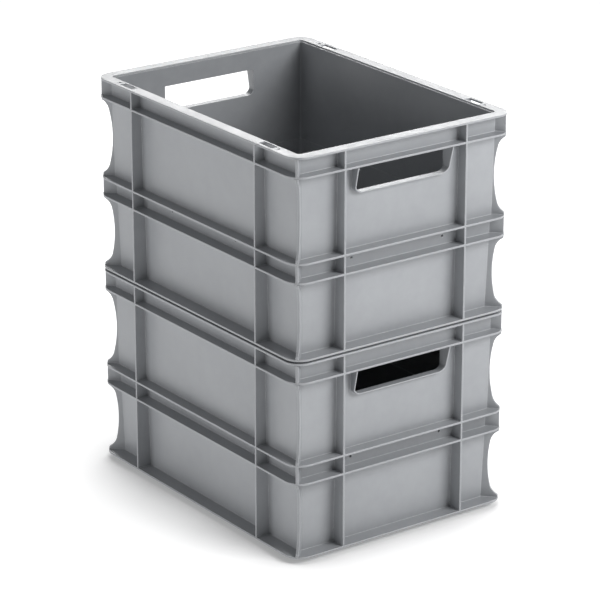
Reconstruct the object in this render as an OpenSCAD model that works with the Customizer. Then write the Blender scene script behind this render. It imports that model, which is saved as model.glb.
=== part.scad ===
// Stacking crate, shown as a stack of two identical crates.
// Each crate is two mouldings welded together: a tub with a closed floor (base)
// and an open frame with the hand holes and the rim (ring).
// Origin at the centre of the lower crate's underside, +Z up,
// X along the long sides, Y along the short sides. Millimetres.

/* [Overall size] */
// Outside length, along X
crate_l = 400; // [380:5:420]
// Outside width, along Y
crate_w = 300; // [280:5:320]
// Height of one crate, underside to rim
crate_h = 240; // [236:1:250]
// Outside corner radius of the rim and of the ribs
corner_r = 20; // [16:1:24]

/* [Walls] */
// How far the wall sits behind the outside face, at the rim
recess_top = 12.9; // [12:0.1:14]
// The same at the lower edge of the ring
recess_ring_foot = 14.5; // [14:0.1:15]
// The same at the upper edge of the base
recess_base_top = 15.4; // [15:0.1:16]
// The same at the floor
recess_floor = 18.4; // [17.5:0.1:19]
// Wall thickness at the rim
wall_top = 4.2; // [2.8:0.1:4.6]
// Wall thickness where base and ring meet, measured on the ring
wall_seam = 3.1; // [2.8:0.1:3.6]
// Wall thickness at the floor
wall_floor = 2.6; // [2.2:0.1:3.2]
// Floor thickness
floor_t = 3; // [2.5:0.5:4]
// Radius of the upright corners of the walls, outside
wall_r = 6; // [4:0.5:8]
// The same inside
wall_inner_r = 2.4; // [2:0.2:4]

/* [Ribs] */
// Thickness of every rib, web and of the rim plate
rib_t = 2.4; // [2:0.1:3]
// Middle height of the lowest rib
rib_low_z = 7.6; // [7.4:0.1:9]
// Middle height of the rib below the welded band
rib_band_low_z = 96.7; // [92:0.1:100]
// Middle height of the rib above the welded band
rib_band_high_z = 118.7; // [114:0.1:122]
// Middle height of the rib under the rim
rib_high_z = 216.6; // [212:0.1:220]
// Distance of the upright ribs from the middle of a long side
rib_long_x = 122.6; // [116:0.1:128]
// Distance of the upright ribs from the middle of a short side
rib_short_y = 83.5; // [80:0.1:88]

/* [Corner webs] */
// Thickness of a corner web
web_t = 3.2; // [2.4:0.1:4]
// Depth of the hollow curve in a corner web
scallop_depth = 12.6; // [9:0.1:14]
// Radius of the long arc of the curve
scallop_r = 140; // [110:5:180]
// Radius of the short arcs at its ends
scallop_end_r = 18; // [14:1:22]
// Web left standing on top of a rib before the curve starts
knuckle_low = 2.8; // [2:0.1:5]
// Web left hanging below a rib before the curve starts
knuckle_high = 3.2; // [2:0.1:6]

/* [Hand holes] */
// Clear width of a hand hole
hand_w = 129; // [110:1:135]
// Height of the lower edge of a hand hole
hand_low_z = 184.5; // [178:0.1:192]
// Radius of the lower corners of a hand hole
hand_r = 10; // [4:0.5:12]
// How much narrower a hand hole is at the inside of the wall, at each end
hand_taper = 1.5; // [0:0.1:2]
// Thickness of the collar round a hand hole
collar_t = 1.6; // [1.2:0.1:2.4]
// How far the lower edge of the collar leans back from the outside face
collar_lean = 8.6; // [5:0.1:9]

/* [Rim] */
// Width of the step along the inside of the rim
ledge_w = 2.6; // [1.2:0.1:3]
// Depth of the step along the inside of the rim
ledge_d = 1.5; // [1:0.1:2]
// Length of the slots in the rim of the long sides
slot_l = 25; // [18:1:26]
// Width of those slots
slot_w = 7.8; // [5:0.1:8]

/* [Foot] */
// How far the crate above sinks into the rim below
nest = 4; // [3:0.5:5]
// Play between the seat and the step it stands in
seat_play = 0.4; // [0.2:0.1:0.6]
// Depth of the hollow under the floor, inside the foot
foot_hollow = 1; // [0.5:0.5:1.5]
// Width of the foot round that hollow
foot_w = 14; // [10:1:20]

/* [Small holes] */
// Diameter of the drain holes in the welded band
drain_d = 2.8; // [2:0.1:4]
// Distance of the drain holes from the middle of a side
drain_pos = 63; // [50:1:75]

/* [Show] */
// Which piece to draw

/* [Hidden] */
half_l = crate_l / 2;
half_w = crate_w / 2;
stack_pitch = crate_h - nest;
rim_z = crate_h - rib_t;
ledge_z = crate_h - ledge_d;
seam_z = rib_band_high_z - rib_t / 2;
seat_z = nest - ledge_d;
rib_low_bottom = rib_low_z - rib_t / 2;
hand_top_z = rib_high_z - rib_t / 2;
inner_top = recess_top + wall_top;
inner_seam = recess_ring_foot + wall_seam;
inner_floor = recess_floor + wall_floor;
floor_top_z = foot_hollow + floor_t;
// how much the inside of the base opens out for each millimetre of height
inner_lean = (inner_floor - inner_seam) / (seam_z - floor_top_z);
riser = inner_top - ledge_w;
// distance from the sharp corner to the rounded one, along the diagonal
corner_gap = corner_r * (sqrt(2) - 1);
grey = [0.60, 0.61, 0.63];

// Distance from the middle to a flat that faces the direction a and touches the
// corner arc of radius r of a rectangle standing in by d
function flat_distance(a, d, r) =
    (half_l - d - r) * abs(cos(a)) + (half_w - d - r) * sin(a) + r;

$fn = 64;
eps = 0.01;

// A slab between two upright planes that lean in towards the bottom and face
// the direction a, in degrees from +X. near and far are the distances of the
// planes from the middle at the heights z0 and z1.
module leaning_slab(a, near, z0, far, z1) {
    rotate([90, 0, a])
        linear_extrude(2 * crate_l, center = true)
            polygon([[-near, z0], [near, z0], [far, z1], [-far, z1]]);
}

// A block whose sides lean in towards the bottom. in0 and in1 say how far the
// sides stand behind the outside faces at the heights z0 and z1. Its upright
// corners are rounded to the radius r by three flats each.
module leaning_block(in0, z0, in1, z1, r) {
    intersection() {
        leaning_slab(0, half_l - in0, z0, half_l - in1, z1);
        leaning_slab(90, half_w - in0, z0, half_w - in1, z1);
        corner_flats(in0, z0, in1, z1, r);
    }
}

// One pair of flats, facing the direction a and the opposite one
module corner_flat(a, in0, z0, in1, z1, r) {
    leaning_slab(a, flat_distance(a, in0, r), z0, flat_distance(a, in1, r), z1);
}

// The flats that round the four corners of a leaning block
module corner_flats(in0, z0, in1, z1, r) {
    intersection() {
        corner_flat(22.5, in0, z0, in1, z1, r);
        corner_flat(45, in0, z0, in1, z1, r);
        corner_flat(67.5, in0, z0, in1, z1, r);
        corner_flat(112.5, in0, z0, in1, z1, r);
        corner_flat(135, in0, z0, in1, z1, r);
        corner_flat(157.5, in0, z0, in1, z1, r);
    }
}

// Rectangle with rounded corners, standing in by d from the outside faces
module rounded_outline(d, r) {
    square([crate_l - 2 * d - 2 * r, crate_w - 2 * d], center = true);
    square([crate_l - 2 * d, crate_w - 2 * d - 2 * r], center = true);
    for (x = [-1, 1])
        for (y = [-1, 1])
            translate([x * (half_l - d - r), y * (half_w - d - r)])
                circle(r);
}

// One flat rib running all the way round, its middle at height z
module flat_rib(z) {
    translate([0, 0, z - rib_t / 2])
        linear_extrude(rib_t)
            rounded_outline(0, corner_r);
}

// The eight upright ribs between two heights
module upright_ribs(z0, z1) {
    for (s = [-1, 1]) {
        translate([s * rib_long_x - rib_t / 2, -half_w, z0])
            cube([rib_t, crate_w, z1 - z0]);
        translate([-half_l, s * rib_short_y - rib_t / 2, z0])
            cube([crate_l, rib_t, z1 - z0]);
    }
}

// Shape of the hollow curve in a corner web, from the height z0 to the height z1:
// a long arc with a shorter arc at each end. The first coordinate runs inwards
// from the sharp corner, and both ends of the curve are flush with the ribs.
module scallop(z0, z1) {
    half = (z1 - z0) / 2;
    back = scallop_r - scallop_depth;
    span = scallop_r - scallop_end_r;
    reach = norm([back, half]);
    turn = atan(half / back)
        - acos((reach * reach + span * span - scallop_end_r * scallop_end_r) / (2 * span * reach));
    translate([corner_gap - back, (z0 + z1) / 2]) {
        for (s = [-1, 1])
            translate([span * cos(turn), s * span * sin(turn)])
                circle(scallop_end_r);
        intersection() {
            circle(scallop_r);
            translate([back - 20, -scallop_r * sin(turn)])
                square([60, 2 * scallop_r * sin(turn)]);
        }
    }
}

// The four upright webs that run from the wall corners to the rib corners,
// between two heights, with the curve cut between the heights low and high
module corner_webs(z0, z1, low, high) {
    for (x = [0, 1])
        for (y = [0, 1])
            mirror([x, 0, 0])
                mirror([0, y, 0])
                    translate([half_l, half_w, 0])
                        rotate([90, 0, 225])
                            linear_extrude(web_t, center = true)
                                difference() {
                                    translate([corner_gap + 0.3, z0])
                                        square([30, z1 - z0]);
                                    scallop(low + knuckle_low, high - knuckle_high);
                                }
}

// Outline of a hand hole, grown by g: straight top, rounded lower corners
module hand_outline(g, top) {
    low = hand_low_z - g;
    half = hand_w / 2 + g;
    r = hand_r + g;
    translate([-half, low + r])
        square([2 * half, top - low - r]);
    translate([-half + r, low])
        square([2 * (half - r), 2 * r]);
    for (s = [-1, 1])
        translate([s * (half - r), low + r])
            circle(r);
}

// Everything between the two end faces of a hand hole, which close in towards
// the inside of the crate. Both faces stand g further out than the hole.
module hand_ends(g) {
    in = hand_w / 2 + g - hand_taper * 40 / inner_top;
    out = hand_w / 2 + g + hand_taper * 10 / inner_top;
    linear_extrude(crate_h)
        polygon([
            [half_l - 40, -in], [half_l + 10, -out],
            [half_l + 10, out], [half_l - 40, in]
        ]);
}

// Both hand-hole collars: frames that lean back towards their lower edge
module hand_collars() {
    for (m = [0, 1])
        mirror([m, 0, 0])
            intersection() {
                translate([half_l - inner_seam, 0, 0])
                    rotate([90, 0, 90])
                        linear_extrude(inner_seam)
                            hand_outline(collar_t, hand_top_z + rib_t / 2);
                hand_ends(collar_t);
                rotate([90, 0, 0])
                    linear_extrude(crate_w, center = true)
                        polygon([
                            [half_l - 40, hand_low_z - 10],
                            [half_l - collar_lean - 1, hand_low_z - 10],
                            [half_l - collar_lean, hand_low_z - collar_t],
                            [half_l - 0.4, hand_top_z],
                            [half_l - 0.4, hand_top_z + rib_t],
                            [half_l - 40, hand_top_z + rib_t]
                        ]);
            }
}

// The two hand holes, cut right through the short sides
module hand_holes() {
    for (m = [0, 1])
        mirror([m, 0, 0])
            intersection() {
                translate([half_l - 40, 0, 0])
                    rotate([90, 0, 90])
                        linear_extrude(50)
                            hand_outline(0, hand_top_z);
                hand_ends(0);
            }
}

// Slots and small round holes in the rim of the long sides, beside the corners
module rim_cuts() {
    slot_x = rib_long_x + rib_t / 2 + 2.2;
    slot_y = half_w - recess_top + 1;
    for (x = [0, 1])
        for (y = [0, 1])
            mirror([x, 0, 0])
                mirror([0, y, 0]) {
                    translate([slot_x, slot_y, rim_z - 1])
                        cube([slot_l, slot_w, rib_t + 2]);
                    translate([slot_x + slot_l + 6.6, slot_y + slot_w / 2, rim_z - 1])
                        cylinder(h = rib_t + 2, d = 3.4);
                }
}

// Drain holes through the wall in the welded band, two on each side
module drain_holes() {
    z = (rib_band_low_z + rib_band_high_z) / 2;
    for (s = [-1, 1]) {
        translate([s * drain_pos, 0, z])
            rotate([90, 0, 0])
                cylinder(h = crate_w + 20, d = drain_d, center = true);
        translate([0, s * drain_pos, z])
            rotate([0, 90, 0])
                cylinder(h = crate_l + 20, d = drain_d, center = true);
    }
}

// Lower moulding: floor, foot, lower walls, lowest rib and the rib under the band
module crate_base() {
    difference() {
        union() {
            leaning_block(recess_floor, rib_low_bottom - eps, recess_base_top, seam_z, wall_r);
            translate([0, 0, seat_z])
                linear_extrude(rib_low_bottom - seat_z)
                    rounded_outline(riser + seat_play, 3.5);
            linear_extrude(seat_z + eps)
                rounded_outline(inner_top + 2.5, 3);
            flat_rib(rib_low_z);
            flat_rib(rib_band_low_z);
            upright_ribs(rib_low_bottom, seam_z);
            corner_webs(rib_low_z, seam_z, rib_low_z + rib_t / 2, rib_band_low_z - rib_t / 2);
        }
        leaning_block(inner_floor, floor_top_z, inner_seam - inner_lean, seam_z + 1, wall_inner_r);
        translate([0, 0, -1])
            linear_extrude(1 + foot_hollow)
                square([crate_l - 2 * (inner_top + foot_w), crate_w - 2 * (inner_top + foot_w)],
                       center = true);
        drain_holes();
    }
}

// Upper moulding: upper walls with the hand holes, the rib above the band,
// the rib under the rim, and the rim
module crate_ring() {
    difference() {
        union() {
            leaning_block(recess_ring_foot, seam_z, recess_top, crate_h, wall_r);
            translate([0, 0, rim_z])
                linear_extrude(rib_t)
                    rounded_outline(0, corner_r);
            flat_rib(rib_high_z);
            flat_rib(rib_band_high_z);
            upright_ribs(seam_z, crate_h - rib_t / 2);
            corner_webs(seam_z, crate_h - rib_t / 2, seam_z + rib_t, hand_top_z);
            hand_collars();
        }
        leaning_block(inner_seam, seam_z - eps, inner_top, crate_h + eps, wall_inner_r);
        translate([0, 0, ledge_z])
            linear_extrude(ledge_d + 1)
                rounded_outline(riser, 4);
        hand_holes();
        rim_cuts();
    }
}

module lower_crate_base() {
    color(grey)
        crate_base();
}

module lower_crate_ring() {
    color(grey)
        crate_ring();
}

module upper_crate_base() {
    color(grey)
        translate([0, 0, stack_pitch])
            crate_base();
}

module upper_crate_ring() {
    color(grey)
        translate([0, 0, stack_pitch])
            crate_ring();
}

lower_crate_base();
lower_crate_ring();
upper_crate_base();
upper_crate_ring();
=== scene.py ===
"""Finish, floor, light and camera for a stack of two plastic crates.

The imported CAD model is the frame: every shape and size comes from it, in metres,
with +Z up and the underside of the lower crate on Z = 0.
"""

import math

import bpy
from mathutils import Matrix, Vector

MM = 0.001

# Camera: where it stands round the object, and its lens
CAMERA_AZIMUTH = 54.23
CAMERA_ELEVATION = 20.15
CAMERA_DISTANCE = 3.669
CAMERA_TARGET_Z = 0.226
CAMERA_LENS = 189.18

# Rounding of the moulded edges
EDGE_ROUNDING = 0.5 * MM
EDGE_SEGMENTS = 2
EDGE_ANGLE = 25

# Floor: its size, and how far the painted shade reaches from something standing on it
FLOOR_RADIUS = 30.0
FLOOR_SIDES = 96
PAINTED_SHADE_REACH = 0.1

# Soft light panels. Azimuth, distance and height say where each one stands,
# aim_height which point of the object's axis it faces, power is in watts.
SKY_STRENGTH = 0.19
PANELS = {
    "back_light": {
        "azimuth": 227, "distance": 1.9, "height": 1.30,
        "size": (2.2, 0.5), "power": 31.0, "aim_height": 0.45,
    },
    "right_light": {
        "azimuth": 116, "distance": 1.4, "height": 1.08,
        "size": (0.9, 0.7), "power": 21.0, "aim_height": 0.30,
    },
    "left_light": {
        "azimuth": -14, "distance": 2.2, "height": 0.45,
        "size": (1.3, 1.1), "power": 14.6, "aim_height": 0.25,
    },
}


def direction(azimuth, elevation):
    """Unit vector from the object towards a place round it; azimuth 0 is on the -Y side."""
    a = math.radians(azimuth)
    e = math.radians(elevation)
    return Vector((math.sin(a) * math.cos(e), -math.cos(a) * math.cos(e), math.sin(e)))


# ---------------------------------------------------------------- materials


class Nodes:
    """A small helper for building one node tree."""

    def __init__(self, tree):
        self.tree = tree
        tree.nodes.clear()

    def add(self, kind, inputs=None, **settings):
        node = self.tree.nodes.new(kind)
        for name, value in settings.items():
            setattr(node, name, value)
        for name, value in (inputs or {}).items():
            self.put(node.inputs[name], value)
        return node

    def put(self, socket, value):
        if isinstance(value, bpy.types.NodeSocket):
            self.tree.links.new(value, socket)
        else:
            socket.default_value = value

    def noise(self, vector, scale, detail=2.0, roughness=0.5):
        node = self.add(
            "ShaderNodeTexNoise",
            {"Vector": vector, "Scale": scale, "Detail": detail, "Roughness": roughness},
        )
        return node.outputs["Fac"]

    def remap(self, value, from_low, from_high, low, high):
        """Maps a value from one range to another and stops it at the ends."""
        node = self.add("ShaderNodeMapRange", {
            "Value": value,
            "From Min": from_low,
            "From Max": from_high,
            "To Min": low,
            "To Max": high,
        })
        return node.outputs["Result"]

    def spread(self, value, low, high):
        """Maps a noise value to the range low to high."""
        return self.remap(value, 0.3, 0.7, low, high)

    def maths(self, operation, a, b, clamp=False):
        node = self.add("ShaderNodeMath", {0: a, 1: b}, operation=operation)
        node.use_clamp = clamp
        return node.outputs["Value"]


def crate_plastic():
    """Semi-matte grey polypropylene: fine grain, faint mottling, edges lighter, partly rubbed wear and
    partly painted highlight.
    """
    material = bpy.data.materials.new("crate_plastic")
    material.use_nodes = True
    n = Nodes(material.node_tree)
    place = n.add("ShaderNodeTexCoord").outputs["Object"]

    cloud = n.noise(place, 9.0, 3.0)
    flow = n.noise(place, 60.0, 4.0, 0.6)
    grain = n.noise(place, 1800.0, 2.0)
    scuff = n.noise(place, 240.0, 5.0, 0.7)

    # edge mask: where a rounded normal differs from the true one
    rounded = n.add("ShaderNodeBevel", {"Radius": 0.8 * MM}, samples=4).outputs["Normal"]
    true = n.add("ShaderNodeNewGeometry").outputs["Normal"]
    match = n.add("ShaderNodeVectorMath", {0: rounded, 1: true}, operation="DOT_PRODUCT")
    edge = n.remap(match.outputs["Value"], 1.0, 0.9, 0.0, 1.0)
    # lighter edges: partly rubbed wear, partly a painted highlight along rib and rim edges, broken up
    # by scuff noise
    edge_wear_and_highlight = n.maths("MULTIPLY", edge, n.spread(scuff, 0.55, 1.0), clamp=True)

    tone = n.maths("ADD", n.spread(cloud, -0.012, 0.012), n.spread(flow, -0.010, 0.010))
    base = n.add("ShaderNodeCombineColor", {
        "Red": n.maths("ADD", tone, 0.300),
        "Green": n.maths("ADD", tone, 0.310),
        "Blue": n.maths("ADD", tone, 0.325),
    }).outputs["Color"]
    # mixes the lighter edge colour (wear and painted highlight) over the base colour
    mix = n.tree.nodes.new("ShaderNodeMix")
    mix.data_type = "RGBA"
    n.put(mix.inputs[0], n.maths("MULTIPLY", edge_wear_and_highlight, 0.9))
    n.put(mix.inputs[6], base)
    n.put(mix.inputs[7], (0.72, 0.73, 0.745, 1.0))

    rough = n.maths("ADD", n.spread(flow, 0.31, 0.41), n.maths("MULTIPLY", edge_wear_and_highlight, 0.03))
    height = n.maths("ADD", n.maths("MULTIPLY", grain, 0.6), n.maths("MULTIPLY", flow, 0.8))
    bump = n.add("ShaderNodeBump", {"Strength": 0.12, "Distance": 0.05 * MM, "Height": height})

    shader = n.add("ShaderNodeBsdfPrincipled", {
        "Base Color": mix.outputs[2],
        "Roughness": rough,
        "Normal": bump.outputs["Normal"],
        "IOR": 1.49,
    })
    out = n.add("ShaderNodeOutputMaterial")
    n.tree.links.new(shader.outputs["BSDF"], out.inputs["Surface"])
    return material


def floor_paint():
    """Matt white studio floor that glows, a little uneven, with a painted soft shadow round whatever
    stands on it.
    """
    material = bpy.data.materials.new("floor_paint")
    material.use_nodes = True
    n = Nodes(material.node_tree)
    place = n.add("ShaderNodeTexCoord").outputs["Object"]
    tone = n.spread(n.noise(place, 1.5, 2.0), 0.62, 0.64)
    paint = n.add("ShaderNodeCombineColor", {"Red": tone, "Green": tone, "Blue": tone})
    # painted shadow: the floor's glow is dimmed where something stands close by
    openness_for_painted_shade = n.add("ShaderNodeAmbientOcclusion", {"Distance": PAINTED_SHADE_REACH}, samples=16).outputs["AO"]
    glow_with_painted_shade = n.remap(openness_for_painted_shade, 0.5, 1.0, 0.22, 0.76)
    shader = n.add("ShaderNodeBsdfPrincipled", {
        "Base Color": paint.outputs["Color"],
        "Roughness": 0.9,
        "Specular IOR Level": 0.1,
        "Emission Color": (1.0, 1.0, 1.0, 1.0),
        "Emission Strength": glow_with_painted_shade,
    })
    out = n.add("ShaderNodeOutputMaterial")
    n.tree.links.new(shader.outputs["BSDF"], out.inputs["Surface"])
    return material


# ---------------------------------------------------------------- crates


def soften_edges(crate_part):
    """Rounds the sharp edges of a moulding, as a mould leaves them, and keeps its faces flat."""
    weld = crate_part.modifiers.new("weld", "WELD")
    weld.merge_threshold = 0.01 * MM
    bevel = crate_part.modifiers.new("edge_rounding", "BEVEL")
    bevel.width = EDGE_ROUNDING
    bevel.segments = EDGE_SEGMENTS
    bevel.limit_method = "ANGLE"
    bevel.angle_limit = math.radians(EDGE_ANGLE)
    bevel.use_clamp_overlap = False
    bevel.loop_slide = False
    shading = crate_part.modifiers.new("flat_faces", "WEIGHTED_NORMAL")
    shading.mode = "FACE_AREA"
    shading.weight = 100


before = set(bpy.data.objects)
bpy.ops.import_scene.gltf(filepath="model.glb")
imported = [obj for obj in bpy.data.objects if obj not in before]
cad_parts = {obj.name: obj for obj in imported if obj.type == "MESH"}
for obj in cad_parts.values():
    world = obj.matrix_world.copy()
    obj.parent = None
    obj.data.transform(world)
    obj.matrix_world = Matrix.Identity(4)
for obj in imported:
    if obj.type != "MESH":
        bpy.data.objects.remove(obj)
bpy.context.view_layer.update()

plastic = crate_plastic()
for crate_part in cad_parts.values():
    crate_part.data.materials.clear()
    crate_part.data.materials.append(plastic)
    soften_edges(crate_part)

# ---------------------------------------------------------------- studio


def make_floor():
    mesh = bpy.data.meshes.new("studio_floor")
    ring = [
        (FLOOR_RADIUS * math.cos(2 * math.pi * i / FLOOR_SIDES),
         FLOOR_RADIUS * math.sin(2 * math.pi * i / FLOOR_SIDES), 0.0)
        for i in range(FLOOR_SIDES)
    ]
    mesh.from_pydata(ring, [], [tuple(range(FLOOR_SIDES))])
    floor = bpy.data.objects.new("studio_floor", mesh)
    bpy.context.scene.collection.objects.link(floor)
    floor.data.materials.append(floor_paint())
    floor.location.z = -0.1 * MM


def make_world(strength):
    world = bpy.data.worlds.new("studio")
    bpy.context.scene.world = world
    world.use_nodes = True
    background = world.node_tree.nodes["Background"]
    background.inputs["Color"].default_value = (0.98, 0.99, 1.0, 1.0)
    background.inputs["Strength"].default_value = strength


def make_panel_light(name, azimuth, distance, height, size, power, aim_height):
    """A soft rectangular light standing round the object and turned towards its axis."""
    lamp = bpy.data.lights.new(name, "AREA")
    lamp.shape = "RECTANGLE"
    lamp.size = size[0]
    lamp.size_y = size[1]
    lamp.energy = power
    panel = bpy.data.objects.new(name, lamp)
    place = direction(azimuth, 0) * distance
    place.z = height
    aim = place - Vector((0.0, 0.0, aim_height))
    panel.location = place
    panel.rotation_mode = "QUATERNION"
    panel.rotation_quaternion = aim.to_track_quat("Z", "Y")
    panel.visible_camera = False
    bpy.context.scene.collection.objects.link(panel)


def make_camera():
    data = bpy.data.cameras.new("camera")
    data.lens = CAMERA_LENS
    data.sensor_width = 36.0
    data.clip_start = 0.1
    data.clip_end = 200.0
    camera = bpy.data.objects.new("camera", data)
    back = direction(CAMERA_AZIMUTH, CAMERA_ELEVATION)
    camera.location = Vector((0.0, 0.0, CAMERA_TARGET_Z)) + back * CAMERA_DISTANCE
    camera.rotation_mode = "QUATERNION"
    camera.rotation_quaternion = (-back).to_track_quat("-Z", "Y")
    bpy.context.scene.collection.objects.link(camera)
    bpy.context.scene.camera = camera


make_floor()
make_world(SKY_STRENGTH)
for panel_name, panel_settings in PANELS.items():
    make_panel_light(panel_name, **panel_settings)
make_camera()
bpy.context.scene.view_settings.view_transform = "Standard"
